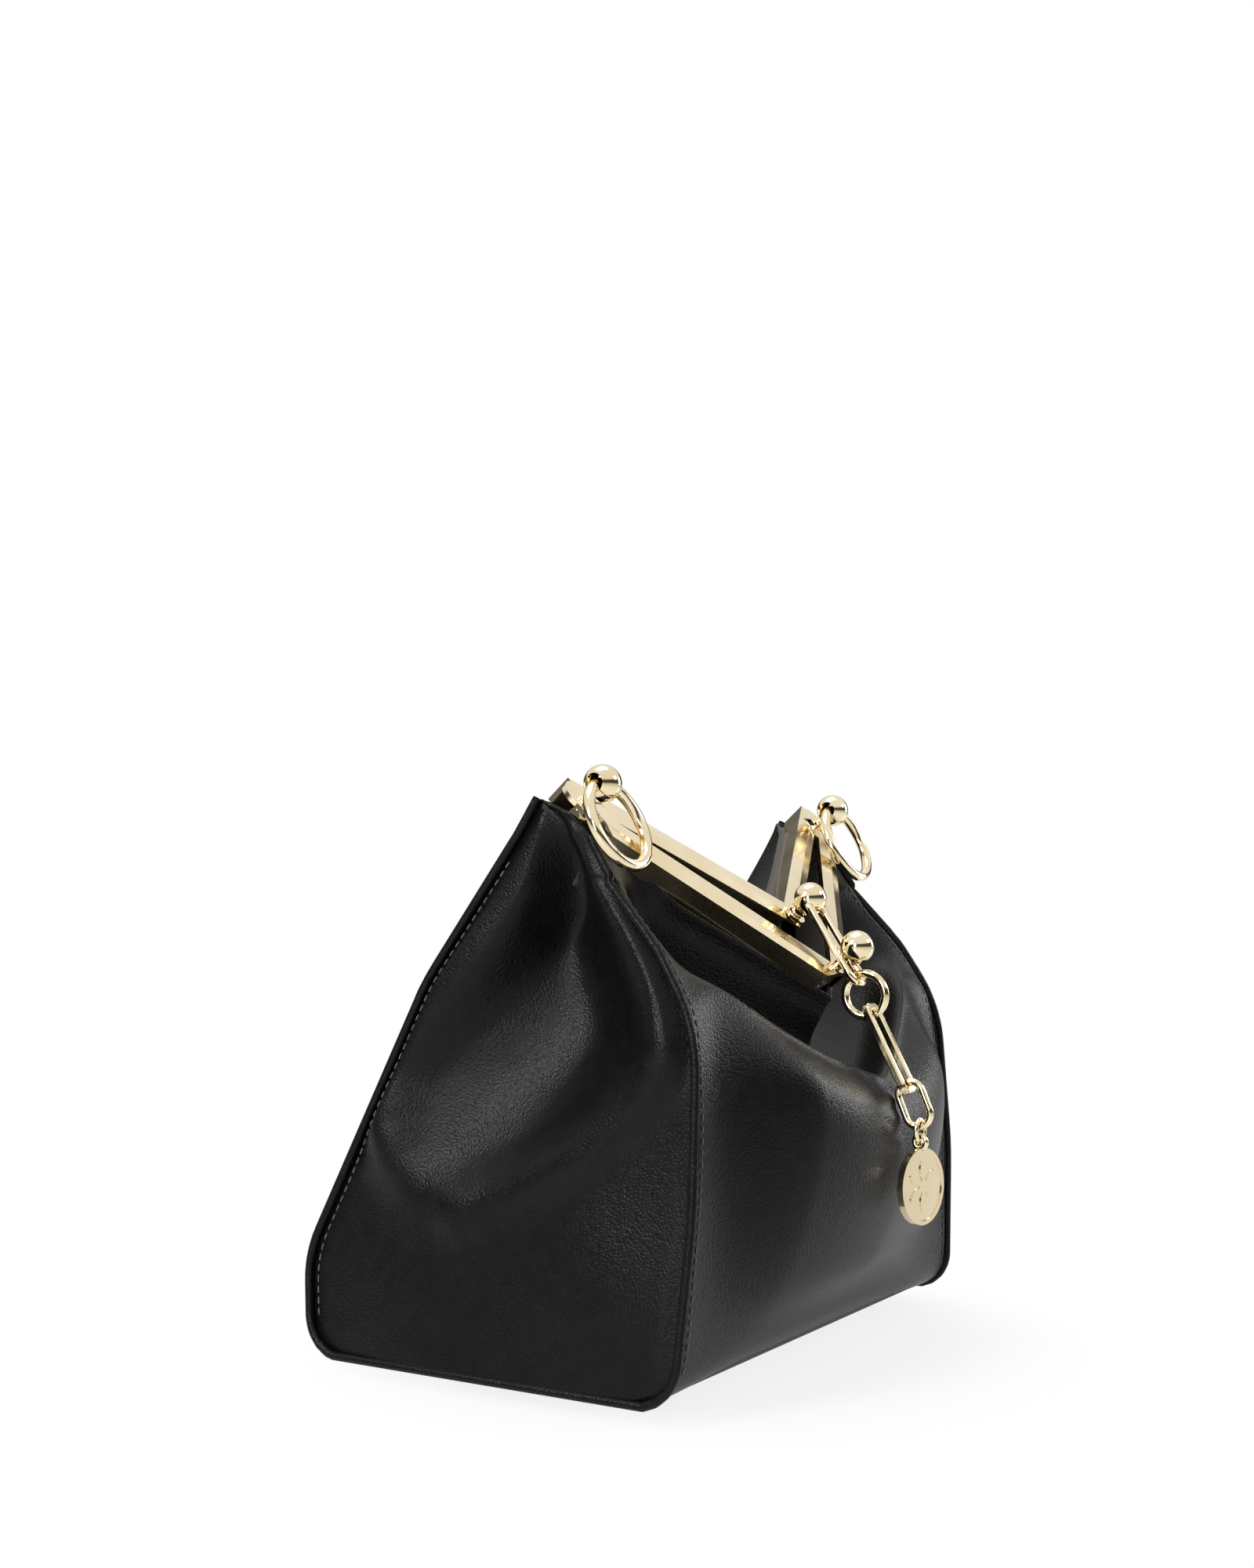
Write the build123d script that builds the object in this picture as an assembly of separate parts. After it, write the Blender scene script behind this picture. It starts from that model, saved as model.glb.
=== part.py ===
from build123d import *
import os
from copy import copy
from math import atan2, cos, degrees, radians, sin, sqrt

# A small doctor bag: X runs along the bag, -Y is the front, +Z is up.
# Everything is drawn about the middle of the base, on the floor, in millimetres. The last
# lines move it so that the origin is on the floor under the middle of the whole, chain included.

# leather body
base_length = 204.0         # outside of one gusset to the other, at the base
base_depth = 134.0          # front to back at the base
base_lift = 5.5             # the feet hold the base this far off the floor
leather = 2.0
board = 2.4                 # stiffener inside the base
board_margin = 6.0
body_gap = 0.15             # between leather pieces that lie against each other
panel_end = 0.972           # the panels stop inside the gussets, at this share of the half length
gusset_lean = 0.10          # each gusset leans in by this much for each mm of height
belly_gap = 5.7             # the belly's front stays this far behind the charm's middle
crest_below = 42.4          # the front panel's shoulder, below and in front of the clasp ball
crest_out = 9.7
crest_rise = 0.25           # the shoulder's slope beside the middle, and how it steepens
crest_curve = 0.0029
piping_radius = 1.4
corner = 14.0               # the gusset's bottom corners
front_swell = 3.5           # the gusset's front edge stands this far out past the base
swell_height = 60.0
shoulder_height = 112.0     # where the front edge turns in towards the hinge
shoulder_out = 2.0
neck_depth = 55.0           # a point of the turned-in edge, in front of the middle
neck_height = 135.0
hinge_depth = 28.0          # the front edge ends here, just below the hinge
hinge_height = 165.0
saddle_depth = 14.0         # the low place between the hinge and the back peak
saddle_height = 168.0
peak_depth = 8.0            # the back peak
peak_height = 181.0
hip_in = 36.0               # the back edge's shoulder, in from the base's back edge
hip_height = 124.0
heel_out = 4.0
heel_height = 36.0
swell_round = 180.0         # how the gusset's outline is rounded at each of these places
shoulder_round = 50.0
neck_round = 60.0
hinge_round = 6.0
saddle_round = 4.0
peak_round = 3.0
hip_round = 60.0
heel_round = 30.0
low_bend = 35.0             # heights and set-backs of the back panel's bends
low_bend_in = 3.0
high_bend = 68.0
high_bend_in = 16.0
top_bend = 107.0
top_bend_in = 46.0
side_bend_in = 34.0
side_fullness = 2.0
side_bend_up = 11.0          # the last bend is higher beside the gussets
front_side = 7.0            # the gathered leather stops this far short of the arm's end
gather_end = 30.0           # and falls in towards this far in front of the middle

# purse frame, drawn in its own tilted plane: x along the bag, t down the face, n out of it
frame_top_y = -18.8
frame_top_z = 186.6
frame_tilt = 41.0           # the face leans out from the vertical
frame_inset = 22.0          # the arms meet the ears this far in from the base's ends
metal = 1.6
back_slope = 0.62
back_width = 8.5
back_flange = 9.8
front_slope = 0.813
front_start = 10.85         # the front half starts this far down the face
front_width = 8.9
front_flange = 8.5
front_tip = 4.9             # the front half's point is cut off square this far below its inner corner
bevel_share = 0.6           # the flat part of each face, the rest is a bevel
bevel_drop = 0.9
clamp_thick = 1.0

# hinge
hinge_t = 11.0
hinge_n = -4.4
knuckle_radius = 2.7
pin_radius = 1.2
pin_clearance = 0.05
knuckle_length = 5.6
knuckle_gap = 0.3
notch_t = 5.8               # the back arm is cut away below this, for the front knuckle

# ears, balls and rings
ear_out = 2.8               # from where the arms meet to the ear's centre
ear_t = 8.9
ear_radius = 6.2
ear_ball_radius = 6.0
ear_ball_n = 8.2
ear_post_radius = 1.7
washer_radius = 2.5
washer_thick = 0.9
ring_radius = 13.9
ring_wire = 1.9
ring_clearance = 0.25
ring_tilt = 24.0            # the rings hang leaning out over the front arms

# clasp
clasp_ball_radius = 5.5
snap_below = 5.4            # below the back half's inner corner
snap_n = 8.3
snap_radius = 1.9
snap_clearance = 0.6
snap_reach = 1.2            # the stud's nose goes this far below the back face
clasp_below = 2.5           # below the front half's inner corner
clasp_n = 10.7
clasp_post_radius = 1.8
link_wire = 1.25
link_half_width = 4.4
link_reach = 9.6            # the link's low bar, below the clasp
link_low_n = 3.6

# chain and charm
chain_gap = 0.2             # between two links that hang on each other
round_radius = 7.1
round_wire = 1.4
round_lean = 23.0
long_length = 29.5          # bar to bar
long_half_width = 3.7
long_wire = 1.25
long_lean = 27.0
oval_half_length = 7.4
oval_half_width = 4.3
oval_wire = 1.15
oval_lean = 22.0
jump_radius = 3.5
jump_wire = 0.8
bail_radius = 2.1
bail_wire = 0.9
charm_radius = 12.2
charm_thick = 2.2
charm_rim = 1.3
charm_relief = 0.35
charm_turn = 10.0           # the disc hangs turned a little to one side

# feet
foot_radius = 6.0
foot_inset_x = 25.0          # from the base's ends and from its long edges
foot_inset_y = 31.0

FACE = Plane(
    origin=(0, frame_top_y, frame_top_z),
    x_dir=(1, 0, 0),
    z_dir=(0, -cos(radians(frame_tilt)), sin(radians(frame_tilt))),
)


pieces = {}


def save(shape, name):
    pieces[name] = shape


def on_face(shape):
    """Place a shape drawn as (x, -t, n) on the frame's tilted face."""
    return FACE.location * shape


def face_point(x, t, n):
    """The point in the bag's frame of a point on the tilted face."""
    return FACE.from_local_coords(Vector(x, -t, n))


def both_sides(shape):
    """A shape and its mirror image across the middle of the bag."""
    return shape + mirror(shape, about=Plane.YZ)


def disc(x, t, low, high, radius):
    """A disc on the tilted face, from n = low to n = high."""
    return Pos(x, -t, (low + high) / 2) * Cylinder(radius, high - low)


half_base = base_length / 2
half_depth = base_depth / 2
base_top = base_lift + leather
frame_span = half_base - frame_inset
ear_x = frame_span + ear_out
back_corner = back_slope * frame_span
front_corner = front_start + front_slope * frame_span
front_tip_t = front_corner + front_tip
snap_t = back_corner + snap_below
clasp_t = front_corner + clasp_below
link_low_t = clasp_t + link_reach
clasp_centre = face_point(0, clasp_t, clasp_n)
crest_height = clasp_centre.Z - crest_below
crest_depth = crest_out - clasp_centre.Y


# the leather body


def gusset_half(z):
    return half_base - gusset_lean * z


def crest_point(share):
    """The front panel's shoulder, at a share of the way from the middle to a gusset."""
    x = share * gusset_half(clasp_centre.Z)
    height = crest_height + crest_rise * x + crest_curve * x * x
    depth = crest_depth - crest_rise * x - 0.001 * x * x
    return depth, height


def front_profile(share):
    """The front panel's outer line, from the base up to the shoulder."""
    swell = belly_depth * (1 - share * share) ** 1.5
    depth, height = crest_point(share)
    rise = height - base_lift
    return [
        (-half_depth, base_lift),
        (-half_depth - 0.62 * swell - 1.5 * share, base_lift + 0.28 * rise),
        (-half_depth - swell - 2.5 * share, base_lift + 0.62 * rise),
        (-half_depth - 0.97 * swell - 2 * share, base_lift + 0.82 * rise),
        (-depth, height),
    ]


def sheet_section(points, share, inward, straight=False):
    """A thin closed section through one leather panel, across the bag."""
    outer = [(share * gusset_half(z), y, z) for y, z in points]
    inner = [(share * gusset_half(z), y + inward, z) for y, z in points]
    if straight:
        return make_face(Polyline(*outer, *inner[::-1], close=True))
    edges = [Spline(*outer), Line(outer[-1], inner[-1]), Spline(*inner[::-1]), Line(inner[0], outer[0])]
    return make_face(Wire(edges))


def flange_edge(slope, start, width, flange, x):
    """The rear edge of a frame half's flange, where the leather is held."""
    t = start + slope * (frame_span - x) + width
    point = face_point(x, t, -flange)
    return point.Y, point.Z


def front_panel():
    shares = [0.0, 0.3, 0.6, 0.85, panel_end]
    sections = [sheet_section(front_profile(s), s, leather) for s in shares]
    return both_sides(loft(sections))


def back_profile(share):
    """The back panel's outer line: upright at the base, then leaning forward to the flange."""
    middle = [
        (half_depth, base_lift),
        (half_depth - low_bend_in, low_bend),
        (half_depth - high_bend_in, high_bend),
        (half_depth - top_bend_in, top_bend),
    ]
    side = [
        (half_depth, base_lift),
        (half_depth - low_bend_in + side_fullness, low_bend),
        (half_depth - high_bend_in + 1.5 * side_fullness, high_bend),
        (half_depth - side_bend_in, top_bend + side_bend_up),
    ]
    line = [
        ((1 - share) * m[0] + share * s[0], (1 - share) * m[1] + share * s[1])
        for m, s in zip(middle, side)
    ]
    top_y, top_z = flange_edge(back_slope, 0, 0, back_flange, share * frame_span)
    return line + [(top_y + leather, top_z - 0.4)]


def back_panel():
    sections = [sheet_section(back_profile(s), s, -leather) for s in (0.0, panel_end)]
    return both_sides(loft(sections, ruled=True))


def gather_profile(share):
    """The slack leather between the shoulder and the front frame half."""
    depth, height = crest_point(share)
    top_x = share * (frame_span - front_side)
    top_y, top_z = flange_edge(front_slope, front_start, front_width, front_flange, top_x)
    return [
        (-depth + leather + body_gap, height - 1),
        (-depth + 0.45 * (depth - gather_end), height + 0.2 * (top_z - height)),
        (-depth + 0.6 * (depth - gather_end), height + 0.55 * (top_z - height)),
        (top_y + 2.4, top_z - 0.6),
    ]


def front_gather():
    sections = [sheet_section(gather_profile(s), s, 1.5 * leather, True) for s in (0.0, 0.93)]
    return both_sides(loft(sections, ruled=True))


def gusset_line(closed=True):
    """The gusset's outline in its own leaning plane, or only the part with piping."""
    low = base_lift
    points = [
        (-half_depth, low),
        (-half_depth - front_swell, swell_height),
        (-half_depth - shoulder_out, shoulder_height),
        (-neck_depth, neck_height),
        (-hinge_depth, hinge_height),
        (-saddle_depth, saddle_height),
        (-peak_depth, peak_height),
        (half_depth - hip_in, hip_height),
        (half_depth + heel_out, heel_height),
        (half_depth, low),
    ]
    radii = [
        corner, swell_round, shoulder_round, neck_round, hinge_round,
        saddle_round, peak_round, hip_round, heel_round, corner,
    ]
    if closed:
        return FilletPolyline(*points, radius=radii, close=True)
    hinge = points.index((-hinge_depth, hinge_height))
    peak = points.index((-peak_depth, peak_height))
    around = points[hinge::-1] + points[:peak - 1:-1]
    bends = radii[hinge - 1::-1] + radii[:peak:-1]
    return FilletPolyline(*around, radius=bends)


def leaning(shape):
    """Stand a shape drawn in the YZ plane on the right gusset's leaning plane."""
    return Pos(half_base, 0, 0) * Rot(0, -degrees(atan2(gusset_lean, 1)), 0) * shape


def gusset():
    face = Plane.YZ * make_face(gusset_line())
    return leaning(extrude(face, amount=-leather, dir=(1, 0, 0)))


def piping():
    line = Plane.YZ * gusset_line(closed=False)
    start = line @ 0
    section = Plane(origin=start, z_dir=line % 0) * Circle(piping_radius)
    tube = sweep(section, path=line)
    return leaning(Pos(piping_radius + body_gap, 0, 0) * tube)


def base_panel():
    outline = RectangleRounded(base_length - 2 * leather - 2, base_depth - 2 * leather - 2, 12)
    return Pos(0, 0, base_lift) * extrude(outline, amount=leather)


def base_board():
    size = (base_length - 2 * board_margin, base_depth - 2 * board_margin)
    return Pos(0, 0, base_top) * extrude(RectangleRounded(*size, 10), amount=board)


def foot():
    """A domed foot with a small flat to stand on, against the underside of the base."""
    dome = Pos(0, 0, base_lift) * Sphere(foot_radius)
    return dome & Pos(0, 0, base_lift / 2) * Cylinder(foot_radius, base_lift)


# the purse frame


def arm(profile, start, slope, low_x, high_x):
    """One arm of a V: a profile of (s, n) drawn square to the arm and pulled along it."""
    length = sqrt(1 + slope * slope)
    along = Vector(1, slope, 0) / length
    across = Vector(slope, -1, 0) / length
    run_up = frame_span / 4
    origin = Vector(0, -(start + slope * frame_span), 0) - along * run_up
    plane = Plane(origin=origin, x_dir=across, z_dir=along)
    face = plane * make_face(Polyline(*[(s, -n) for s, n in profile], close=True))
    bar = extrude(face, amount=(high_x + 2 * run_up) * length, dir=along)
    keep = Pos((low_x + high_x) / 2, 0, 0) * Box(high_x - low_x, 5 * frame_span, frame_span)
    return bar & keep


def back_section():
    flat = bevel_share * back_width
    return [
        (0, -back_flange), (0, 0), (flat, 0), (back_width, -bevel_drop),
        (back_width, -metal), (metal, -metal), (metal, -back_flange),
    ]


def front_section():
    flat = bevel_share * front_width
    inner = front_width - metal
    return [
        (0, -metal), (0, 0), (flat, 0), (front_width, -bevel_drop),
        (front_width, -front_flange), (inner, -front_flange), (inner, -metal),
    ]


knuckle_inner = frame_span + 0.2                    # the back knuckle's inner end
knuckle_outer = knuckle_inner + knuckle_length
front_knuckle_outer = knuckle_inner - knuckle_gap
front_knuckle_inner = front_knuckle_outer - knuckle_length
notch_inner = front_knuckle_inner - 0.4
front_knuckle_x = (front_knuckle_inner + front_knuckle_outer) / 2
front_knuckle_middle = Pos(front_knuckle_x, -hinge_t, hinge_n) * Rot(0, 90, 0)


def knuckle(low_x, high_x, bore):
    tube = Cylinder(knuckle_radius, high_x - low_x) - Cylinder(bore, high_x - low_x)
    return Pos((low_x + high_x) / 2, -hinge_t, hinge_n) * Rot(0, 90, 0) * tube


def frame_back():
    side = arm(back_section(), 0, back_slope, 0, frame_span + 2.5)
    ear = Pos(ear_x, -ear_radius, -metal / 2) * Cylinder(ear_radius, metal)
    ear_width = knuckle_outer + 2.2 - knuckle_inner
    low_t = hinge_t + knuckle_radius
    ear += Pos(knuckle_inner + ear_width / 2, -(ear_radius + low_t) / 2, -metal / 2) * Box(
        ear_width, low_t - ear_radius, metal
    )
    bridge_depth = -metal - hinge_n
    bridge = Pos((knuckle_inner + knuckle_outer) / 2, -hinge_t, (hinge_n - metal) / 2) * Box(
        knuckle_length, 1.6 * knuckle_radius, bridge_depth
    )
    bridge -= Pos((knuckle_inner + knuckle_outer) / 2, -hinge_t, hinge_n) * Rot(0, 90, 0) * Cylinder(
        knuckle_radius - 0.2, knuckle_length
    )
    notch_size = knuckle_inner - notch_inner
    notch = Pos(notch_inner + notch_size / 2, -(notch_t + frame_span / 4), 0) * Box(
        notch_size, frame_span / 2, frame_span / 2
    )
    side = side + ear - notch
    side += bridge + knuckle(knuckle_inner, knuckle_outer, pin_radius)
    hole = disc(0, snap_t, -metal, 0, snap_radius + snap_clearance)
    post_hole = disc(ear_x, ear_t, -metal, 0, ear_post_radius)
    return on_face(both_sides(side - post_hole) - hole)


def frame_front():
    side = arm(front_section(), front_start, front_slope, 0, front_knuckle_outer)
    lug_low = hinge_t - 0.6 * knuckle_radius
    lug_high = front_start + front_slope * knuckle_length + 2
    lug = Pos(front_knuckle_x, -(lug_low + lug_high) / 2, hinge_n / 2) * Box(
        knuckle_length, lug_high - lug_low, -hinge_n
    )
    lug -= front_knuckle_middle * Cylinder(knuckle_radius - 0.2, knuckle_length)
    side += lug + knuckle(front_knuckle_inner, front_knuckle_outer, pin_radius + pin_clearance)
    side -= front_knuckle_middle * Cylinder(pin_radius + pin_clearance, knuckle_length + 1)
    hole = disc(0, clasp_t, -metal, 0, clasp_post_radius)
    below = Pos(0, -(front_tip_t + frame_span / 2), 0) * Box(frame_span, frame_span, frame_span)
    return on_face(both_sides(side) - hole - below)


def clamp(section_start, slope, start, low_n, high_n, high_x, side):
    profile = [
        (section_start, low_n), (section_start, high_n),
        (section_start + clamp_thick, high_n), (section_start + clamp_thick, low_n),
    ]
    below = Pos(0, -(front_tip_t - clamp_thick + frame_span / 2), 0) * Box(
        frame_span, frame_span, frame_span
    )
    strip = arm(profile, start, slope, body_gap, high_x) - below
    return on_face(strip if side > 0 else mirror(strip, about=Plane.YZ))


def hinge_pin(side):
    length = knuckle_outer - front_knuckle_inner
    pin = Pos((knuckle_outer + front_knuckle_inner) / 2, -hinge_t, hinge_n) * Rot(0, 90, 0) * Cylinder(
        pin_radius, length
    )
    head = Pos(knuckle_outer + 0.5, -hinge_t, hinge_n) * Rot(0, 90, 0) * Cylinder(knuckle_radius - 0.5, 1.0)
    return on_face((pin + head) if side > 0 else mirror(pin + head, about=Plane.YZ))


# the balls, rings and clasp


def trumpet(radius, clearance):
    """The bell-mouthed cross hole that lets a curved wire turn inside a ball."""
    reach = ear_ball_radius + 1
    steps = [reach * k / 4 for k in range(-4, 5)]
    flare = [ring_radius - sqrt(ring_radius**2 - x * x) for x in steps]
    top = [(x, radius + clearance + rise) for x, rise in zip(steps, flare)]
    ends = [Line(top[-1], (reach, 0)), Line((reach, 0), (-reach, 0)), Line((-reach, 0), top[0])]
    outline = make_face(Wire([Spline(*top), *ends]))
    return revolve(outline, Axis.X)


def ear_ball(side):
    ball = Sphere(ear_ball_radius) - trumpet(ring_wire, ring_clearance)
    return on_face(Pos(side * ear_x, -ear_t, ear_ball_n) * ball)


def ear_stud(side):
    neck_top = ear_ball_n - sqrt(ear_ball_radius**2 - ear_post_radius**2)
    post = disc(side * ear_x, ear_t, -metal, neck_top + 0.4, ear_post_radius)
    post += disc(side * ear_x, ear_t, 0, washer_thick, washer_radius)
    post -= Pos(side * ear_x, -ear_t, ear_ball_n) * Sphere(ear_ball_radius)
    return on_face(post)


def o_ring(side):
    ring = Torus(ring_radius, ring_wire)
    ring = Rot(90, 0, 0) * ring
    hung = Rot(-ring_tilt, 0, 0) * (Pos(0, 0, -ring_radius) * ring)
    return Pos(face_point(side * ear_x, ear_t, ear_ball_n)) * hung


def loop(half_length, half_width, corner, wire, square=False):
    """A closed link in the XY plane, its length along Y and its bars' centres at +-half_length."""
    path = RectangleRounded(2 * half_width, 2 * half_length, corner).wire()
    start = path @ 0
    plane = Plane(origin=start, z_dir=path % 0, x_dir=(0, 0, 1))
    section = Rectangle(2 * wire, 2 * wire) if square else Circle(wire)
    if square:
        section = chamfer(section.vertices(), wire * 0.45)
    return sweep(plane * section, path=path, transition=Transition.ROUND)


def clasp_link_at(wire):
    drop = snap_n - link_low_n
    reach = link_low_t - snap_t
    half = sqrt(drop * drop + reach * reach) / 2
    link = loop(half, link_half_width, link_half_width - 0.05, wire)
    slope = degrees(atan2(drop, reach))
    middle = Pos(0, -(snap_t + link_low_t) / 2, (snap_n + link_low_n) / 2)
    return on_face(middle * Rot(slope, 0, 0) * link)


def snap_ball():
    ball = on_face(Pos(0, -snap_t, snap_n) * Sphere(clasp_ball_radius))
    return ball - clasp_link_at(link_wire + 0.02)


def snap_stud():
    """The press stud under the ball: its round nose sits in the back half's socket."""
    top = snap_n - clasp_ball_radius + 0.6
    stud = disc(0, snap_t, -snap_reach + snap_radius, top, snap_radius)
    stud += Pos(0, -snap_t, -snap_reach + snap_radius) * Sphere(snap_radius)
    stud += disc(0, snap_t, top - 1.2, top - 0.3, snap_radius + 1.1)
    stud -= Pos(0, -snap_t, snap_n) * Sphere(clasp_ball_radius)
    return on_face(stud)


def snap_socket():
    rim = disc(0, snap_t, 0, washer_thick, snap_radius + snap_clearance + 1.7)
    rim -= disc(0, snap_t, -1, washer_thick + 1, snap_radius + snap_clearance)
    return on_face(rim)


def clasp_post():
    post = disc(0, clasp_t, -metal, clasp_n - clasp_ball_radius + 0.5, clasp_post_radius)
    post += disc(0, clasp_t, 0, washer_thick, clasp_post_radius + 1.2)
    post -= Pos(0, -clasp_t, clasp_n) * Sphere(clasp_ball_radius)
    return on_face(post)


# the chain and charm, worked out from the clasp link's low bar


def step_down(point, length, lean):
    """A point further down the chain, which leans out over the belly."""
    return point + Vector(0, -length * sin(radians(lean)), -length * cos(radians(lean)))


hang = face_point(0, link_low_t, link_low_n)
round_reach = round_radius - round_wire - link_wire - chain_gap
round_middle = step_down(hang, round_reach, round_lean)
long_reach = round_radius - round_wire - long_wire - chain_gap
long_top = step_down(round_middle, long_reach, round_lean)
long_bottom = step_down(long_top, long_length, long_lean)
oval_reach = oval_half_length - oval_wire - long_wire - chain_gap
oval_middle = step_down(long_bottom, oval_reach, oval_lean)
jump_top = step_down(oval_middle, oval_half_length - oval_wire - jump_wire - chain_gap, oval_lean)
jump_middle = step_down(jump_top, jump_radius, 0)
jump_bottom = step_down(jump_top, 2 * jump_radius, 0)
bail_middle = step_down(jump_bottom, bail_radius - bail_wire - jump_wire - chain_gap, 0)
charm_middle = step_down(bail_middle, bail_radius + charm_radius - 0.3, 0)
belly_depth = -charm_middle.Y - belly_gap - half_depth


def upright(shape, point, lean):
    """Stand a link drawn in the XY plane so that its face looks out of the bag's front."""
    return Pos(point) * Rot(-lean, 0, 0) * Rot(90, 0, 0) * shape


def edgewise(shape, point, lean):
    """The same, turned a quarter about its length so that its edge looks out."""
    return Pos(point) * Rot(-lean, 0, 0) * Rot(0, 0, 90) * Rot(90, 0, 0) * shape


def round_link():
    return edgewise(Torus(round_radius, round_wire), round_middle, round_lean)


def long_link():
    link = loop(long_length / 2, long_half_width, 0.6 * long_half_width, long_wire, square=True)
    return upright(link, step_down(long_top, long_length / 2, long_lean), long_lean)


def oval_link():
    link = loop(oval_half_length, oval_half_width, oval_half_width - 0.1, oval_wire)
    return edgewise(link, oval_middle, oval_lean)


def turned(shape):
    """Turn a piece of the charm about the upright line it hangs on."""
    upright_line = Axis((charm_middle.X, charm_middle.Y, 0), (0, 0, 1))
    return shape.rotate(upright_line, -charm_turn)


def charm_bail():
    return turned(edgewise(Torus(bail_radius, bail_wire), bail_middle, 0))


def charm_disc():
    blank = Cylinder(charm_radius, charm_thick)
    recess = Pos(0, 0, charm_thick / 2) * Cylinder(charm_radius - charm_rim, 2 * charm_relief)
    return turned(upright(blank - recess, charm_middle, 0)) - charm_bail()


def charm_motif():
    """A plain wreath of petals raised on the disc's face."""
    raised = extrude(Circle(0.18 * charm_radius), charm_relief)
    for k in range(6):
        petal = extrude(Ellipse(0.14 * charm_radius, 0.27 * charm_radius), charm_relief)
        raised += Rot(0, 0, 60 * k) * Pos(0, 0.42 * charm_radius, 0) * petal
    return turned(upright(Pos(0, 0, charm_thick / 2 - charm_relief) * raised, charm_middle, 0))


# write every piece

sides = {"right": 1, "left": -1}


def mirrored(shape, side):
    return shape if side > 0 else mirror(shape, about=Plane.YZ)


save(base_panel(), "base_panel")
save(base_board(), "base_board")
save(front_panel(), "front_panel")
save(back_panel(), "back_panel")
save(front_gather(), "front_gather")
for name, side in sides.items():
    save(mirrored(gusset(), side), f"gusset_{name}")
    save(mirrored(piping(), side), f"piping_{name}")
    save(hinge_pin(side), f"hinge_pin_{name}")
    back_clamp = clamp(metal + 1.2, back_slope, 0, -back_flange + 0.8, -metal - 1.0, notch_inner - 4, side)
    save(back_clamp, f"clamp_back_{name}")
    front_clamp = clamp(
        front_width - metal - 1.2 - clamp_thick, front_slope, front_start,
        -front_flange + 0.8, -metal - 1.0, front_knuckle_inner - 6, side,
    )
    save(front_clamp, f"clamp_front_{name}")
    save(ear_stud(side), f"ear_stud_{name}")
    save(ear_ball(side), f"ear_ball_{name}")
    save(o_ring(side), f"o_ring_{name}")
    for end, place in {"front": -1, "back": 1}.items():
        spot = Pos(side * (half_base - foot_inset_x), place * (half_depth - foot_inset_y), 0)
        save(spot * foot(), f"foot_{end}_{name}")

save(frame_back(), "frame_back")
save(frame_front(), "frame_front")
save(snap_socket(), "snap_socket")
save(snap_stud(), "snap_stud")
save(snap_ball(), "snap_ball")
save(clasp_link_at(link_wire), "clasp_link")
save(clasp_post(), "clasp_post")
save(on_face(Pos(0, -clasp_t, clasp_n) * Sphere(clasp_ball_radius)), "clasp_ball")
save(round_link(), "round_link")
save(long_link(), "long_link")
save(oval_link(), "oval_link")
save(upright(Torus(jump_radius, jump_wire), jump_middle, 0), "jump_ring")
save(charm_bail(), "charm_bail")
save(charm_disc(), "charm_disc")
save(charm_motif(), "charm_motif")

bounds = Compound(children=[copy(shape) for shape in pieces.values()]).bounding_box()
to_middle = Vector(0, -(bounds.min.Y + bounds.max.Y) / 2, 0)
os.makedirs("parts", exist_ok=True)
for name, shape in pieces.items():
    export_step(Pos(to_middle) * shape, f"parts/{name}.step")

for name, point in {
    "base middle": Vector(0, 0, 0),
    "front hinge": face_point(0, hinge_t, hinge_n),
    "ear ball": face_point(ear_x, ear_t, ear_ball_n),
    "chain top": hang,
    "long link": long_top,
    "oval link": long_bottom,
    "jump ring": jump_top,
    "charm": jump_bottom,
    "charm middle": charm_middle,
}.items():
    print(name, [round(v, 4) for v in point + to_middle])
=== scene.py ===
import math
import bpy
import numpy as np
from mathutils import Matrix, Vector


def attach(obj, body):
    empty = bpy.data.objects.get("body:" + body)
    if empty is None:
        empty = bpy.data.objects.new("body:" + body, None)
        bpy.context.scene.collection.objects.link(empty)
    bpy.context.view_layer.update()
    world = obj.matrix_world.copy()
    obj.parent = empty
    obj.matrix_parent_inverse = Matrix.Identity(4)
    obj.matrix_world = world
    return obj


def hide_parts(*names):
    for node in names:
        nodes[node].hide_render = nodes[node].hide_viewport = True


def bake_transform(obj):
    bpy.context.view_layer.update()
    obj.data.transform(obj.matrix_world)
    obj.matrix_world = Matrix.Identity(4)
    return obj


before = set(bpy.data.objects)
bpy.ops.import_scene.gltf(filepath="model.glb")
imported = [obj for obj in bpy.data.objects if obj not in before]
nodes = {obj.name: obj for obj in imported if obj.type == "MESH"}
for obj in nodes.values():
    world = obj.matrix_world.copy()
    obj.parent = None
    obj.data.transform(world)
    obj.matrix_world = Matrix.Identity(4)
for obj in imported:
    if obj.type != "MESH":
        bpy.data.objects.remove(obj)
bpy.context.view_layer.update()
mm = 0.001

base = [(nodes["base_panel"].matrix_world @ v.co).y for v in nodes["base_panel"].data.vertices]
baseY = (min(base) + max(base)) / 2

# Sizes are in millimetres about the middle of the base until a mesh is written, which
# moves it by baseY into the frame's own place.
bag = {
    "halfBase": 102.0,
    "halfDepth": 67.0,
    "lift": 5.5,
    "lean": 0.10,
    "belly": 27.0,
    "crestDepth": 88.0,
    "crestHeight": 92.0,
    "crestRise": 0.25,
    "crestCurve": 0.0029,
    "crestPull": 0.001,
    "panelEnd": 0.992,
}
wallDepth = {"leather": 1.4, "base": 1.2, "lining": 0.6}

# both halves of the frame lie along one tilted face, and each one's flange runs down it
# from the hinges to the tip of the V
face = {"topY": -18.8, "topZ": 186.6, "tilt": math.radians(41), "span": 80.0}
flanges = {"back": {"slope": 0.62, "start": 0.0}, "front": {"slope": 0.813, "start": 10.85}}


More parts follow.
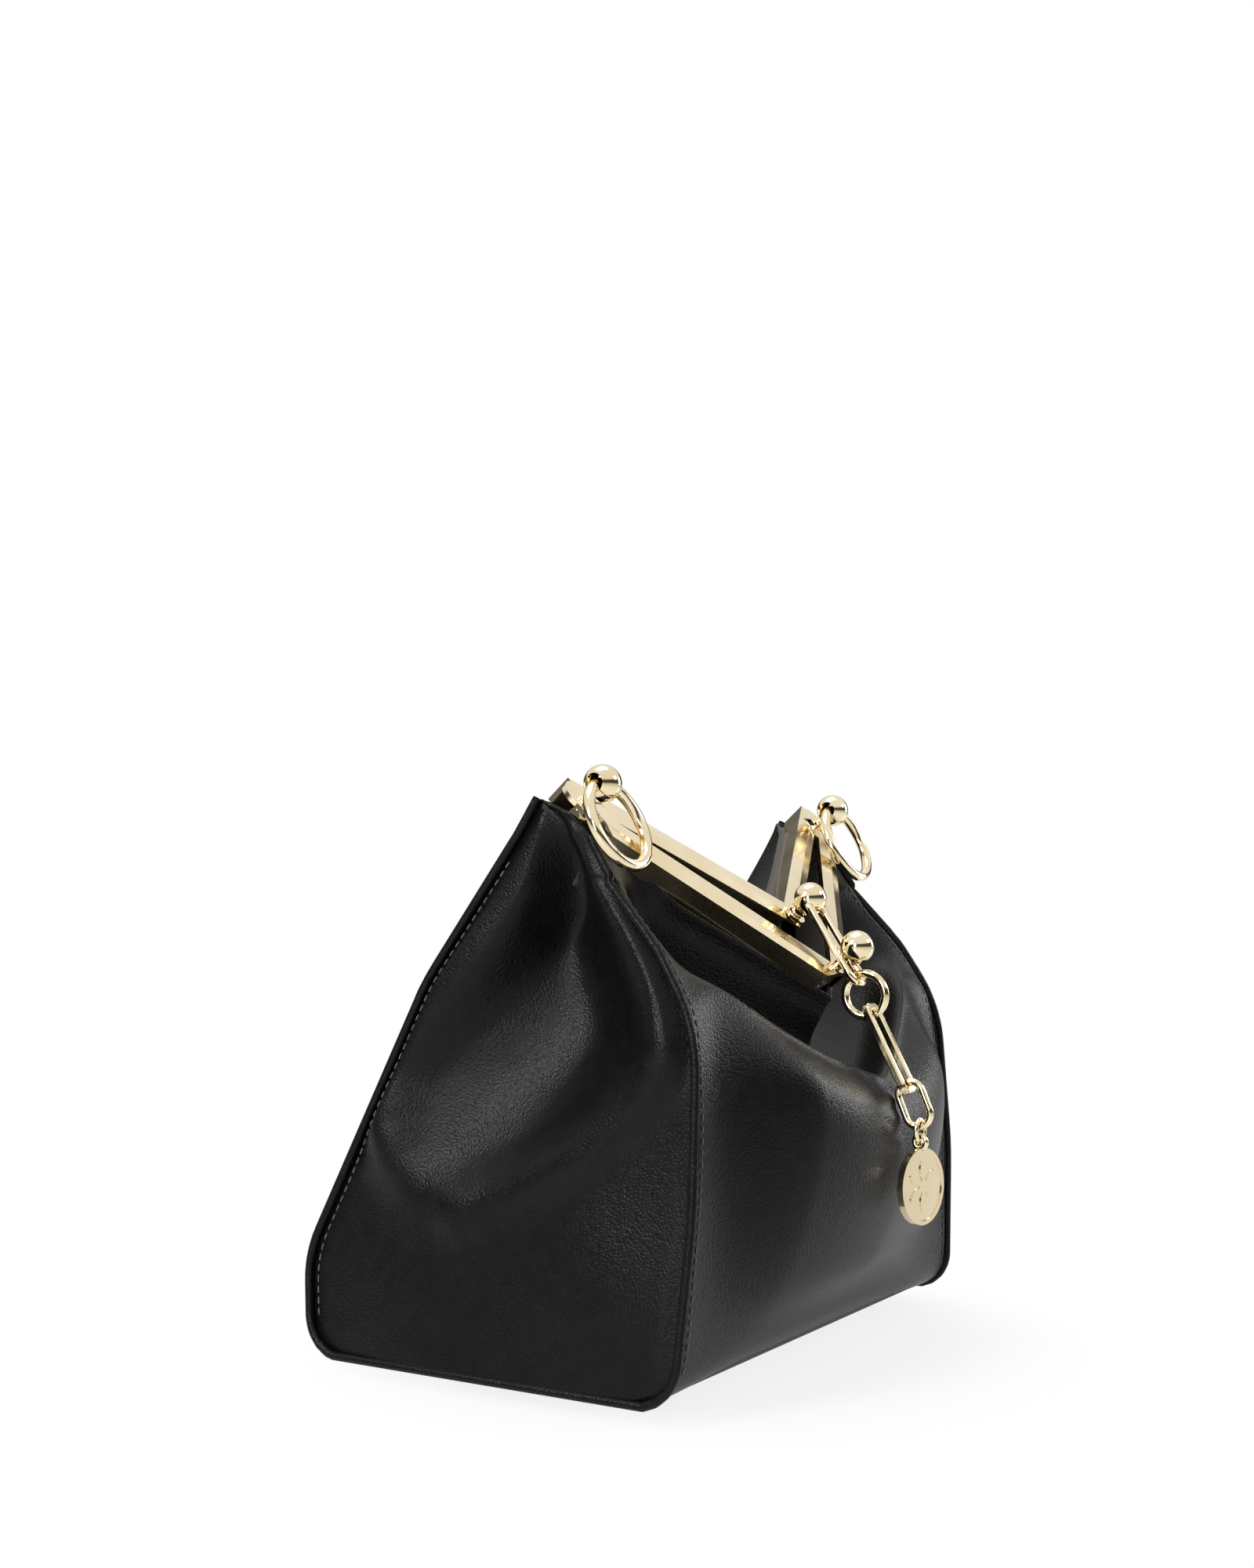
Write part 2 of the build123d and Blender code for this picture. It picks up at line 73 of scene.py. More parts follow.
def facePoint(x, t, n):
    y = face["topY"] - t * math.sin(face["tilt"]) - n * math.cos(face["tilt"])
    z = face["topZ"] - t * math.cos(face["tilt"]) + n * math.sin(face["tilt"])
    return (x, y, z)


def flangeEdge(flange, x, width=0.0, drop=0.0):
    # the (y, z) of a place by a flange: width is further down the face, drop is behind it
    point = facePoint(x, flange["start"] + flange["slope"] * (face["span"] - x) + width, -drop)
    return point[1], point[2]


def smooth(low, high, value):
    t = np.clip((value - low) / (high - low), 0, 1)
    return t * t * (3 - 2 * t)


def softLine(points, heights, spread):
    # a line through (y, z) points read at each height, with its corners rounded off
    ys, zs = zip(*sorted(points, key=lambda p: p[1]))
    fine = np.linspace(-40, 240, 1121)
    line = np.interp(fine, zs, ys)
    kernel = np.exp(-((np.arange(-80, 81) * 0.25) / spread) ** 2)
    line = np.convolve(np.pad(line, 80, mode="edge"), kernel / kernel.sum(), mode="valid")
    return np.interp(heights, fine, line)


def makeMesh(name, verts, faces, material, shade=True):
    mesh = bpy.data.meshes.new(name)
    mesh.from_pydata([(x, y + baseY, z) for x, y, z in verts], [], faces)
    mesh.update()
    if shade:
        mesh.polygons.foreach_set("use_smooth", [True] * len(mesh.polygons))
    obj = bpy.data.objects.new(name, mesh)
    bpy.context.scene.collection.objects.link(obj)
    mesh.materials.append(material)
    return obj


def gridMesh(name, points, material, flip=False):
    # points is an array of rows by columns by 3, in millimetres
    rows, cols, _ = points.shape
    faces = []
    for r in range(rows - 1):
        for c in range(cols - 1):
            a = r * cols + c
            quad = (a, a + 1, a + cols + 1, a + cols)
            faces.append(quad[::-1] if flip else quad)
    return makeMesh(name, points.reshape(-1, 3) * mm, faces, material)


def followOpening(obj):
    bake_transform(obj)


def thicken(obj, depth, inner=None):
    wall = obj.modifiers.new("wall", "SOLIDIFY")
    wall.thickness = depth * mm
    wall.offset = -1
    if inner:
        obj.data.materials.append(inner)
        wall.material_offset = 1


# materials


def newMaterial(name):
    material = bpy.data.materials.new(name)
    material.use_nodes = True
    tree = material.node_tree
    return material, tree, tree.nodes["Principled BSDF"], tree.nodes.new("ShaderNodeTexCoord")


def addNode(tree, kind, **inputs):
    node = tree.nodes.new(kind)
    for key, value in inputs.items():
        node.inputs[key.replace("_", " ")].default_value = value
    return node


def colourRamp(tree, stops):
    ramp = tree.nodes.new("ShaderNodeValToRGB")
    ramp.color_ramp.elements[0].position = stops[0][0]
    ramp.color_ramp.elements[0].color = stops[0][1]
    ramp.color_ramp.elements[1].position = stops[-1][0]
    ramp.color_ramp.elements[1].color = stops[-1][1]
    for position, colour in stops[1:-1]:
        ramp.color_ramp.elements.new(position).color = colour
    return ramp


def addTexture(tree, kind, coords, **inputs):
    node = addNode(tree, kind, **inputs)
    tree.links.new(coords.outputs["Object"], node.inputs["Vector"])
    return node


def addBump(tree, height, strength, depth, under=None):
    node = addNode(tree, "ShaderNodeBump", Strength=strength, Distance=depth * mm)
    tree.links.new(height, node.inputs["Height"])
    if under:
        tree.links.new(under.outputs["Normal"], node.inputs["Normal"])
    return node


def colourBy(tree, shader, value, stops):
    ramp = colourRamp(tree, stops)
    tree.links.new(value, ramp.inputs["Fac"])
    tree.links.new(ramp.outputs["Color"], shader.inputs["Base Color"])


def roughBy(tree, shader, value, span):
    rough = addNode(tree, "ShaderNodeMapRange", To_Min=span[0], To_Max=span[1])
    tree.links.new(value, rough.inputs["Value"])
    tree.links.new(rough.outputs["Result"], shader.inputs["Roughness"])


def mathNode(tree, operation, *values):
    node = tree.nodes.new("ShaderNodeMath")
    node.operation = operation
    for socket, value in zip(node.inputs, values):
        if isinstance(value, float):
            socket.default_value = value
        else:
            tree.links.new(value, socket)
    return node.outputs[0]


leatherLook = {
    "dark": (0.0024, 0.0024, 0.0025, 1),
    "light": (0.0046, 0.0045, 0.0043, 1),
    "rough": (0.26, 0.38),
    "shine": 0.15,
    "grainSize": 0.75,
    "grainHeight": 0.17,
    "grainStrength": 0.8,
    "grainWarp": 0.5,
    "poreShare": 0.35,
    "wrinkleSize": 5.0,
    "wrinkleHeight": 0.12,
    "wrinkleStrength": 0.25,
}


def makeLeather(name, look):
    material, tree, shader, coords = newMaterial(name)
    link = tree.links.new
    # cells pushed about by noise make the grain, with fine pores over it
    warp = addTexture(tree, "ShaderNodeTexNoise", coords, Scale=900.0, Detail=2.0)
    push = tree.nodes.new("ShaderNodeVectorMath")
    push.operation = "MULTIPLY_ADD"
    push.inputs[1].default_value = (look["grainWarp"] * mm,) * 3
    link(warp.outputs["Color"], push.inputs[0])
    link(coords.outputs["Object"], push.inputs[2])
    cells = addNode(tree, "ShaderNodeTexVoronoi", Scale=1000 / look["grainSize"])
    cells.feature = "SMOOTH_F1"
    cells.inputs["Smoothness"].default_value = 0.35
    link(push.outputs[0], cells.inputs["Vector"])
    pores = addTexture(tree, "ShaderNodeTexNoise", coords, Scale=2600.0, Detail=3.0, Roughness=0.6)
    grain = mathNode(
        tree, "MULTIPLY_ADD", pores.outputs["Fac"], look["poreShare"], cells.outputs["Distance"],
    )
    fine = addBump(tree, grain, look["grainStrength"], look["grainHeight"])
    fine.invert = True
    wrinkles = addTexture(
        tree, "ShaderNodeTexNoise", coords, Scale=1000 / look["wrinkleSize"], Detail=4.0,
    )
    broad = addBump(
        tree, wrinkles.outputs["Fac"], look["wrinkleStrength"], look["wrinkleHeight"], fine,
    )
    link(broad.outputs["Normal"], shader.inputs["Normal"])
    colourBy(tree, shader, wrinkles.outputs["Fac"], [(0.3, look["dark"]), (0.7, look["light"])])
    roughBy(tree, shader, pores.outputs["Fac"], look["rough"])
    shader.inputs["Specular IOR Level"].default_value = look["shine"]
    return material


goldLook = {"colour": (0.86, 0.75, 0.53, 1), "warm": (0.80, 0.67, 0.43, 1), "rough": (0.05, 0.13)}


def makeGold(name, look):
    material, tree, shader, coords = newMaterial(name)
    patches = addTexture(tree, "ShaderNodeTexNoise", coords, Scale=60.0, Detail=3.0)
    colourBy(tree, shader, patches.outputs["Fac"], [(0.35, look["warm"]), (0.65, look["colour"])])
    roughBy(tree, shader, patches.outputs["Fac"], look["rough"])
    ripple = addTexture(tree, "ShaderNodeTexNoise", coords, Scale=220.0, Detail=1.0)
    wave = addBump(tree, ripple.outputs["Fac"], 0.08, 0.05)
    tree.links.new(wave.outputs["Normal"], shader.inputs["Normal"])
    shader.inputs["Metallic"].default_value = 1.0
    return material


def makeFabric(name, dark, light, thread):
    material, tree, shader, coords = newMaterial(name)
    weave = addTexture(
        tree, "ShaderNodeTexWave", coords, Scale=1000 / thread, Distortion=1.5, Detail=2.0,
    )
    colourBy(tree, shader, weave.outputs["Fac"], [(0.2, dark), (0.8, light)])
    raised = addBump(tree, weave.outputs["Fac"], 0.4, 0.1)
    tree.links.new(raised.outputs["Normal"], shader.inputs["Normal"])
    shader.inputs["Roughness"].default_value = 0.85
    shader.inputs["Sheen Weight"].default_value = 0.2
    return material


leather = makeLeather("leather", leatherLook)
gold = makeGold("gold", goldLook)
satinGold = makeGold("satinGold", {**goldLook, "rough": (0.12, 0.2)})
lining = makeFabric("lining", (0.006, 0.0042, 0.003, 1), (0.022, 0.014, 0.009, 1), 0.7)
thread = makeFabric("thread", (0.05, 0.048, 0.045, 1), (0.16, 0.15, 0.14, 1), 0.25)
boardFinish = makeFabric("board", (0.05, 0.035, 0.02, 1), (0.12, 0.09, 0.06, 1), 1.2)
print("materials made")

# the CAD pieces that keep their shape

bevelLook = {"width": 0.22, "segments": 2, "angle": math.radians(38)}

for name, obj in nodes.items():
    if obj.type != "MESH":
        continue
    finish = gold
    if name == "base_board":
        finish = boardFinish
    if name in ("frame_back", "frame_front"):
        finish = satinGold
    obj.data.materials.clear()
    obj.data.materials.append(finish)
    obj.data.polygons.foreach_set("use_smooth", [True] * len(obj.data.polygons))
    edges = obj.modifiers.new("edges", "BEVEL")
    edges.width = bevelLook["width"] * mm
    edges.segments = bevelLook["segments"]
    edges.limit_method = "ANGLE"
    edges.angle_limit = bevelLook["angle"]
    edges.harden_normals = True


# gussets


def runAlong(path):
    # the length along a path up to each of its points
    return np.concatenate([[0], np.cumsum(np.linalg.norm(np.diff(path, axis=0), axis=1))])


def curveThrough(points, count):
    # a rounded line through the points, evenly spaced along its length
    pts = np.array(points, dtype=float)
    pts = np.vstack([2 * pts[0] - pts[1], pts, 2 * pts[-1] - pts[-2]])
    fine = []
    for k in range(1, len(pts) - 2):
        p0, p1, p2, p3 = pts[k - 1 : k + 3]
        for t in np.linspace(0, 1, 24, endpoint=False):
            fine.append(
                0.5 * (2 * p1 + (p2 - p0) * t + (2 * p0 - 5 * p1 + 4 * p2 - p3) * t * t
                       + (3 * p1 - p0 - 3 * p2 + p3) * t ** 3)
            )
    fine.append(pts[-2])
    fine = np.array(fine)
    run = runAlong(fine)
    at = np.linspace(0, run[-1], count)
    return np.stack([np.interp(at, run, fine[:, k]) for k in range(fine.shape[1])], axis=1)


def gussetEdges(heights):
    # the outline of the CAD gusset, front and back, at each height
    mesh = nodes["gusset_right"].data
    points = np.array([(v.co.x, v.co.y - baseY, v.co.z) for v in mesh.vertices]) / mm
    top = points[points[:, 2].argmax()]
    front = points[points[:, 1] < top[1] - 0.5]
    back = points[points[:, 1] >= top[1] - 0.5]
    lines = []
    for side, pick in ((front, np.minimum), (back, np.maximum)):
        order = side[side[:, 2].argsort()]
        zs, keep = np.unique(order[:, 2].round(1), return_inverse=True)
        ys = np.full(len(zs), np.inf if pick is np.minimum else -np.inf)
        pick.at(ys, keep, order[:, 1])
        lines.append(np.interp(heights, zs, ys))
    # the leather rises under the ear, higher than the plain solid
    topY, topZ = zip(*gussetTop)
    raised = np.interp(heights, topZ, topY)
    lines[0] = np.where(np.array(heights) > topZ[0], raised, lines[0])
    return lines


# (y, z) points up the rise under the ear, and along the ridges and the valley of the fold.
# A bulge is y, z, spread and height.
gussetTop = [
    (-37, 156), (-31, 165), (-27.5, 171), (-22.5, 174.5), (-17, 177.5), (-12, 179.5), (-8, 181.5),
]
gussetFolds = {
    "bottom": 5.6,
    "top": 181.3,
    "columns": 160,
    "backRidge": [
        (12, 53), (30, 56), (40, 66), (44, 80), (42, 96), (32, 112), (15, 132), (-2, 154),
        (-9, 174),
    ],
    "frontRidge": [
        (12, 53), (-10, 60), (-26, 69), (-37, 78), (-47, 88), (-56, 98), (-59, 108),
        (-54, 124), (-45, 142), (-33, 160), (-28, 172),
    ],
    "valley": [
        (8, 52), (0, 72), (-12, 90), (-20, 104), (-19, 116), (-11, 134), (-9, 155), (-12, 173),
    ],
    "rounding": 5,
    "depth": 20.5,
    "deepens": (50, 122),
    "shallows": (160, 181),
    "rim": 18,
    "backHeight": 4.5,
    "backWidth": 9,
    "frontHeight": 4.0,
    "frontWidth": 7,
    "ridgeStarts": (52, 76),
    "ridgeFades": (120, 165),
    "lowSwell": 1.6,
    "lowSwellEnds": (60, 110),
    "seam": 7,
    "bulges": [(-42, 34, 26, 3.4), (30, 26, 24, 1.6), (-58, 106, 11, 2.2), (38, 78, 14, 2.0)],
    "hinge": (-22, 172, 8, 3.4),
    "hingeStarts": (148, 174),
    "blur": 8,
}


def distanceTo(points, ys, zs):
    # how far each place on the gusset is from a line through (y, z) points
    nearest = np.full(np.broadcast(ys, zs).shape, 1e9)
    for (y0, z0), (y1, z1) in zip(points, points[1:]):
        run = (y1 - y0) ** 2 + (z1 - z0) ** 2
        t = np.clip(((ys - y0) * (y1 - y0) + (zs - z0) * (z1 - z0)) / run, 0, 1)
        gap = np.hypot(ys - y0 - t * (y1 - y0), zs - z0 - t * (z1 - z0))
        nearest = np.minimum(nearest, gap)
    return nearest


def bump(ys, zs, y, z, spread, height):
    return height * np.exp(-(((ys - y) / spread) ** 2) - ((zs - z) / spread) ** 2)


def gussetPoints(side, look):
    foldFoot = look["backRidge"][0][1]
    heights = np.concatenate([
        np.linspace(look["bottom"], 22, 26)[:-1], np.linspace(22, look["top"], 208),
    ])
    yFront, yBack = gussetEdges(heights)
    yBack = np.maximum(yBack, yFront + 1.0)
    # columns stand closer together towards the two seams
    even = np.linspace(0, 1, look["columns"])
    across = 0.35 * (0.5 - 0.5 * np.cos(np.pi * even)) + 0.65 * even
    ys = yFront[:, None] + (yBack - yFront)[:, None] * across[None, :]
    zs = np.repeat(heights[:, None], look["columns"], axis=1)
    backRidge, frontRidge, valley = [
        softLine(look[key], heights, look["rounding"])[:, None]
        for key in ("backRidge", "frontRidge", "valley")
    ]
    backGap = distanceTo(look["backRidge"], ys, zs)
    frontGap = distanceTo(look["frontRidge"], ys, zs)
    # the dish falls from the back ridge to the valley and climbs steeply to the front ridge
    broad = np.clip((backRidge - ys) / np.maximum(backRidge - valley, 2), 0, 1)
    steep = np.clip((ys - frontRidge) / np.maximum(valley - frontRidge, 2), 0, 1)
    dish = np.where(ys > valley, smooth(0, 1, broad) ** 0.9, smooth(0, 1, steep))
    dish = np.where((ys > backRidge) | (ys < frontRidge) | (zs < foldFoot), 0, dish)
    dish *= smooth(0, look["rim"], np.minimum(backGap, frontGap))
    depth = look["depth"] * smooth(*look["deepens"], zs)
    depth *= 1 - 0.45 * smooth(*look["shallows"], zs)
    edge = smooth(0, look["seam"], ys - yFront[:, None])
    edge *= smooth(0, look["seam"], yBack[:, None] - ys)
    fade = 1 - 0.6 * smooth(*look["ridgeFades"], zs)
    fade *= 0.35 + 0.65 * smooth(*look["ridgeStarts"], zs)
    out = look["backHeight"] * np.exp(-((backGap / look["backWidth"]) ** 2)) * fade
    out += look["frontHeight"] * np.exp(-((frontGap / look["frontWidth"]) ** 2)) * fade
    out += sum(bump(ys, zs, *one) for one in look["bulges"])
    swell = look["lowSwell"] * np.sin(np.pi * across)[None, :]
    out += swell * (1 - smooth(*look["lowSwellEnds"], zs))
    out = (out - depth * dish) * edge
    out += bump(ys, zs, *look["hinge"]) * smooth(*look["hingeStarts"], zs)
    xs = bag["halfBase"] - bag["lean"] * zs + out
    return np.stack([side * xs, ys, zs], axis=2)


def blurOut(points, times):
    # evens how far the leather stands out, and leaves the seams where they are
    out = points[..., 0]
    for _ in range(times):
        around = out[:-2, 1:-1] + out[2:, 1:-1] + out[1:-1, :-2] + out[1:-1, 2:]
        out[1:-1, 1:-1] = 0.5 * out[1:-1, 1:-1] + 0.125 * around
    return points


gussetGrids = {}
for name, side in (("Left", -1), ("Right", 1)):
    points = blurOut(gussetPoints(side, gussetFolds), gussetFolds["blur"])
    gussetGrids[side] = points
    gusset = gridMesh("gussetLeather" + name, points, leather, flip=side < 0)
    thicken(gusset, wallDepth["leather"], lining)
    followOpening(gusset)
    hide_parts("gusset_" + name.lower())
print("gussets made")

pipingLook = {"radius": 1.4, "out": 1.25, "sides": 10, "height": 165, "frontEnd": 170}


def tube(name, path, radius, sides, material):
    path = np.array(path)
    along = np.gradient(path, axis=0)
    along /= np.linalg.norm(along, axis=1)[:, None]
    outward = np.cross(along, (1.0, 0.0, 0.0))
    outward /= np.linalg.norm(outward, axis=1)[:, None]
    up = np.cross(outward, along)
    turns = np.linspace(0, 2 * np.pi, sides + 1)[None, :, None]
    rings = path[:, None] + radius * (np.cos(turns) * outward[:, None] + np.sin(turns) * up[:, None])
    obj = gridMesh(name, rings, material)
    weld = obj.modifiers.new("weld", "WELD")
    weld.merge_threshold = 0.02 * mm
    return obj


def pipingPath(look):
    # down the front edge from the hinge, along the base and up the back edge to the peak
    low = gussetFolds["bottom"]
    heights = low + look["height"] * (1 - np.cos(np.linspace(0, np.pi / 2, 150)))
    frontY, backY = gussetEdges(heights)
    front = [(y, z) for y, z in zip(frontY, heights) if z < look["frontEnd"]]
    back = list(zip(backY, heights)) + [gussetTop[-1]]
    under = [(y, low) for y in np.linspace(front[0][0], back[0][0], 60)[1:-1]]
    line = curveThrough(front[::-1] + under + back, 420)
    out = bag["halfBase"] - bag["lean"] * line[:, 1] + look["out"]
    return np.stack([out, line[:, 0], line[:, 1]], axis=1)


for name, side in (("Left", -1), ("Right", 1)):
    path = pipingPath(pipingLook) * (side, 1, 1)
    piping = tube("piping" + name, path, pipingLook["radius"], pipingLook["sides"], leather)
    followOpening(piping)
    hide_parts("piping_" + name.lower())
print("piping made")


# front leather: base, belly, crest, hollow and up to the frame


def crestPoint(share):
    # how far forward and how high the crest is, which falls back and rises to each side
    x = share * (bag["halfBase"] - bag["lean"] * (bag["crestHeight"] + 40))
    depth = bag["crestDepth"] - bag["crestRise"] * x - bag["crestPull"] * x * x
    height = bag["crestHeight"] + bag["crestRise"] * x + bag["crestCurve"] * x * x
    return depth, height


# behind and drop shape the hollow under the V, width and under seat the edge in the flange,
# and reach is how far out the flange goes. edgeHeights is where each point of the profile
# comes to on the gusset's front edge.
frontLook = {
    "behind": 9.0,
    "drop": 5.0,
    "corner": 14.0,
    "width": 11.0,
    "under": 8.2,
    "reach": 76,
    "columns": 161,
    "rows": 170,
    "edgeHeights": [5.7, 7.2, 11.5, 19.5, 40, 66, 90, 112, 124, 135, 147, 159, 169],
}


def baseCorner(half, lift, corner):
    # the round corner between the base and a panel that stands on it
    return [
        (half - corner, lift + 0.3),
        (half - 0.5 * corner, lift + 0.13 * corner + 0.4),
        (half - 0.13 * corner, lift + 0.5 * corner),
    ]


def frontProfile(share, look):
    swell = bag["belly"] * (1 - share * share)
    depth, height = crestPoint(share)
    lift = bag["lift"]
    rise = height - lift
    half = bag["halfDepth"]
    corner = look["corner"]
    topY, topZ = flangeEdge(
        flanges["front"], share * look["reach"], look["width"], look["under"],
    )
    middle = [(-y, z) for y, z in baseCorner(half, lift, corner)] + [
        (-half - 0.15 * swell, lift + corner + 2),
        (-half - 0.62 * swell - 1.5 * share, lift + 0.34 * rise),
        (-half - swell - 2.5 * share, lift + 0.64 * rise),
        (-half - 0.97 * swell - 2 * share, lift + 0.85 * rise),
        (-depth - 0.6, height - 2.2),
        (-depth + 2.4, height + 0.4),
        (0.5 * (topY + look["behind"] - depth), height - 0.5 * look["drop"]),
        (topY + look["behind"], height + 0.3 * (topZ - height)),
        (topY + 0.5 * look["behind"], topZ - 4),
        (topY + 0.6, topZ + 2.0),
    ]
    # towards the gusset the leather runs up its front edge to the hinge
    sideZ = look["edgeHeights"]
    sideY = gussetEdges(sideZ)[0]
    line = []
    for k, (y, z) in enumerate(middle):
        start = 0.62 if k > 6 else 0.5
        near = float(smooth(start, 1.0, share))
        line.append((y + near * (sideY[k] - y), z + near * (sideZ[k] - z)))
    return line


def frontPoints(look):
    columns = []
    for share in np.linspace(-1, 1, look["columns"]):
        part = abs(share) * bag["panelEnd"]
        line = curveThrough(frontProfile(part, look), look["rows"])
        reach = np.sign(share) * part * (bag["halfBase"] - bag["lean"] * line[:, 1])
        columns.append(np.stack([reach, line[:, 0], line[:, 1]], axis=1))
    return np.stack(columns, axis=1)


def pucker(grid, look):
    # small pulls in the leather where the chain rests against the belly: the middle of
    # each one, its length, its tilt and its height
    xs, zs = grid[..., 0], grid[..., 2]
    for x, z, length, tilt, height in look:
        along = (xs - x) * math.cos(tilt) + (zs - z) * math.sin(tilt)
        off = (zs - z) * math.cos(tilt) - (xs - x) * math.sin(tilt)
        wave = height * np.exp(-((along / length) ** 2) - (off / 1.8) ** 2)
        grid[..., 1] += np.where(grid[..., 1] < -60, wave, 0)
    return grid


puckers = [
    (-9, 88, 8, 0.25, 0.5), (-8, 83, 9, -0.1, 0.45), (-9, 78, 7, -0.4, 0.4),
    (9, 88, 8, -0.25, 0.5), (8, 83, 9, 0.1, 0.45),
]
frontGrid = pucker(frontPoints(frontLook), puckers)
front = gridMesh("frontLeather", frontGrid, leather)
thicken(front, wallDepth["leather"], lining)
followOpening(front)
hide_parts("front_panel", "front_gather")
print("front made")


# back leather

backLook = {
    "corner": 14.0,
    "under": 9.8,
    "reach": 80,
    "columns": 121,
    "rows": 120,
    "edgeHeights": [5.7, 7.2, 11.5, 19.5, 35, 68, 118, 170, 181],
}


def backProfile(share, look):
    half = bag["halfDepth"]
    lift = bag["lift"]
    corner = look["corner"]
    topY, topZ = flangeEdge(flanges["back"], share * look["reach"], drop=look["under"])
    middle = baseCorner(half, lift, corner) + [
        (half + 0.4, lift + corner + 2),
        (half - 3, 35),
        (half - 16, 68),
        (half - 46, 107),
        (topY + 3.2, topZ - 2.6),
        (topY + 1.6, topZ + 1.6),
    ]
    # the flat of the panel goes over to the gusset's back edge evenly, the rest only near it
    sideZ = look["edgeHeights"]
    sideY = gussetEdges(sideZ)[1]
    line = []
    for k, (y, z) in enumerate(middle):
        near = share if 3 < k < 7 else float(smooth(0.8, 1.0, share))
        line.append((y + near * (sideY[k] - y), z + near * (sideZ[k] - z)))
    return line


def backPoints(look):
    columns = []
    for share in np.linspace(-1, 1, look["columns"]):
        part = min((share * share + 0.004) ** 0.5, 1.0) * bag["panelEnd"]
        line = curveThrough(backProfile(part, look), look["rows"])
        reach = share * bag["panelEnd"] * (bag["halfBase"] - bag["lean"] * line[:, 1])
        columns.append(np.stack([reach, line[:, 0], line[:, 1]], axis=1))
    return np.stack(columns, axis=1)


back = gridMesh("backLeather", backPoints(backLook), leather, flip=True)
thicken(back, wallDepth["leather"], lining)
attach(back, "bag")
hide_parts("back_panel")
print("back made")

# base, mouth lining and stitches


def sheetBetween(name, lines, material, depth, flip=False):
    sheet = gridMesh(name, np.stack([np.array(line) for line in lines]), material, flip)
    thicken(sheet, depth)
    return sheet


baseLook = {"inset": 1.6, "above": 1.7, "halfDepth": 55}
baseX = np.linspace(-1, 1, 60) * (bag["halfBase"] - baseLook["inset"])
baseRows = np.linspace(-baseLook["halfDepth"], baseLook["halfDepth"], 30)
rows = [[(x, y, bag["lift"] + baseLook["above"]) for x in baseX] for y in baseRows]
baseLeather = sheetBetween("baseLeather", rows, leather, wallDepth["base"])
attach(baseLeather, "bag")
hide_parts("base_panel")

# the lining hangs inside the back flange, and goes inward from the front one
liningLook = {
    "half": 74,
    "width": 2.8,
    "under": 9.0,
    "above": 3,
    "drop": 24.0,
    "lean": 0.12,
    "bow": 2.0,
}
frontLiningLook = {"half": 72, "width": 5.5, "tip": 79.0, "under": 6.5, "drop": 12, "lean": 2}


def backRows(look):
    rows = []
    for k in np.linspace(0, 1, 14):
        row = []
        for x in np.linspace(-look["half"], look["half"], 75):
            y, z = flangeEdge(flanges["back"], abs(x), look["width"], look["under"])
            y += look["lean"] * k * look["drop"] + look["bow"] * math.sin(6 * k)
            row.append((x, y, z + look["above"] - k * look["drop"]))
        rows.append(row)
    return rows


def frontRows(look):
    flange = flanges["front"]
    rows = []
    for k in np.linspace(0, 1, 12):
        row = []
        for x in np.linspace(-look["half"], look["half"], 97):
            t = flange["start"] + flange["slope"] * (face["span"] - abs(x)) + look["width"]
            t = min(t, look["tip"]) - look["lean"] * k
            row.append(facePoint(x, t, -look["under"] - look["drop"] * k))
        rows.append(row)
    return rows


backMouth = sheetBetween("mouthLiningBack", backRows(liningLook), lining, wallDepth["lining"])
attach(backMouth, "bag")
frontMouth = sheetBetween(
    "mouthLiningFront", frontRows(frontLiningLook), lining, wallDepth["lining"],
)
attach(frontMouth, "front_half")
print("base and lining made")

stitchLook = {
    "pitch": 3.4,
    "length": 2.3,
    "radius": 0.27,
    "lift": 0.12,
    "sides": 6,
    "from": 12,
    "to": 160,
    "inset": 3.0,
}


def stitchRow(name, path, normals, look):
    # one short rounded thread for each stitch, half sunk in the leather
    path, normals = np.array(path), np.array(normals)
    run = runAlong(path)
    sides = look["sides"]
    verts, faces = [], []
    for at in np.arange(look["pitch"], run[-1] - look["pitch"], look["pitch"]):
        ends = [at - look["length"] / 2, at + look["length"] / 2]
        a, b = [np.array([np.interp(e, run, path[:, k]) for k in range(3)]) for e in ends]
        up = np.array([np.interp(at, run, normals[:, k]) for k in range(3)])
        along = (b - a) / np.linalg.norm(b - a)
        up = up - along * np.dot(up, along)
        up /= np.linalg.norm(up)
        side = np.cross(along, up)
        start = len(verts)
        for share, width in ((0, 0.35), (0.15, 0.85), (0.5, 1.0), (0.85, 0.85), (1, 0.35)):
            middle = a + (b - a) * share + up * look["lift"] * width
            for k in range(sides):
                turn = 2 * math.pi * k / sides
                spoke = side * math.cos(turn) + up * math.sin(turn)
                verts.append(middle + spoke * look["radius"] * width)
        for ring in range(4):
            for k in range(sides):
                p = start + ring * sides + k
                q = start + ring * sides + (k + 1) % sides
                faces.append((p, q, q + sides, p + sides))
        faces.append(tuple(start + k for k in range(sides))[::-1])
        faces.append(tuple(start + 4 * sides + k for k in range(sides)))
    return makeMesh(name, np.array(verts) * mm, faces, thread)


